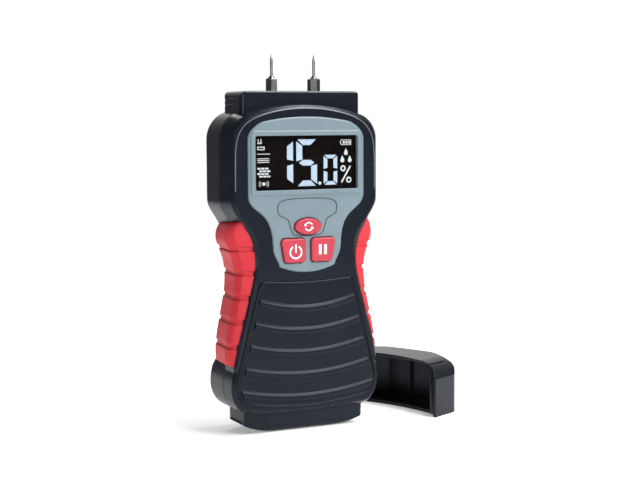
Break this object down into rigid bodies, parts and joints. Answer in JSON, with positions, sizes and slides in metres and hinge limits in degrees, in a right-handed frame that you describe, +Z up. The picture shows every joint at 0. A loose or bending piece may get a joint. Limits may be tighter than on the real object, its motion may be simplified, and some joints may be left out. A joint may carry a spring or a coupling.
{
  "type": "moisture meter",
  "caption": "Hand-held pin and pad moisture meter with a display, buttons, ribbed grips, a battery door and a loose pin cap.",
  "frame": {"origin": "centre of the foot block's flat underside, on the surface the meter stands on", "axes": "+Z up along the meter towards its pins, front with display and buttons faces -Y, +X to the viewer's right"},
  "size_m": [0.1224, 0.0736, 0.1678],
  "materials": {
    "case_black": "fine texture, satin",
    "cap_black": "glossy inside, satin outside",
    "bezel_grey": "satin",
    "window_clear": "clear, glossy",
    "lcd_black": "very dark, glossy",
    "backlight_white": "translucent white",
    "strip_black": "conductive rubber",
    "frame_black": "satin",
    "grip_red": "soft, satin",
    "pad_black": "soft, satin",
    "pin_steel": "ground",
    "collar_steel": "dark, turned",
    "socket_brass": "turned",
    "wire_red": "insulated lead",
    "wire_black": "insulated lead",
    "board_green": "solder mask",
    "chip_black": "moulded",
    "switch_metal": "pressed",
    "screw_steel": "blackened",
    "sensor_grey": "fine texture",
    "copper": "copper sheet",
    "plate_silver": "blank label",
    "battery_case": "printed can",
    "terminal_metal": "plated",
    "foam_grey": "foam strip",
    "button_red": "satin"
  },
  "bodies": {
    "housing": {"front_shell": "case_black", "rear_shell": "case_black", "head_block": "case_black", "foot_block": "case_black", "bezel": "bezel_grey", "display_window": "window_clear", "lcd_glass": "lcd_black", "backlight": "backlight_white", "contact_strips": "strip_black", "lcd_frame": "frame_black", "left_grip": "grip_red", "right_grip": "grip_red", "front_pad": "pad_black", "left_pin": "pin_steel", "right_pin": "pin_steel", "left_pin_collar": "collar_steel", "right_pin_collar": "collar_steel", "pin_sockets": "socket_brass", "pin_leads": "wire_black", "circuit_board": "board_green", "switches": "switch_metal", "microcontroller": "chip_black", "small_components": "chip_black", "buzzer": "chip_black", "board_screws": "screw_steel", "case_screws": "screw_steel", "pad_sensor_cover": "sensor_grey", "sensor_plate": "copper", "sensor_lead": "wire_black", "rating_plate": "plate_silver", "battery": "battery_case", "battery_terminals": "terminal_metal", "battery_snap": "wire_black", "battery_lead_red": "wire_red", "battery_lead_black": "wire_black", "battery_tray": "frame_black"},
    "mode_button": {"mode_button": "button_red"},
    "power_button": {"power_button": "button_red"},
    "hold_button": {"hold_button": "button_red"},
    "battery_door": {"battery_door": "case_black", "battery_foam": "foam_grey"},
    "cap": {"cap": "cap_black"}
  },
  "joints": [
    {"name": "mode_press", "type": "slide", "parent": "housing", "child": "mode_button", "axis": [0, 1, 0], "range_m": [0, 0.001], "stiffness_N_per_m": 700},
    {"name": "power_press", "type": "slide", "parent": "housing", "child": "power_button", "axis": [0, 1, 0], "range_m": [0, 0.001], "stiffness_N_per_m": 700},
    {"name": "hold_press", "type": "slide", "parent": "housing", "child": "hold_button", "axis": [0, 1, 0], "range_m": [0, 0.001], "stiffness_N_per_m": 700},
    {"name": "battery_door_swing", "type": "hinge", "parent": "housing", "child": "battery_door", "pos_m": [0, 0.0122, 0.015], "axis": [-1, 0, 0], "range_deg": [0, 75]},
    {"name": "cap_lift", "type": "slide", "parent": "housing", "child": "cap", "axis": [0, 0, 1], "range_m": [0, 0.18]}
  ]
}
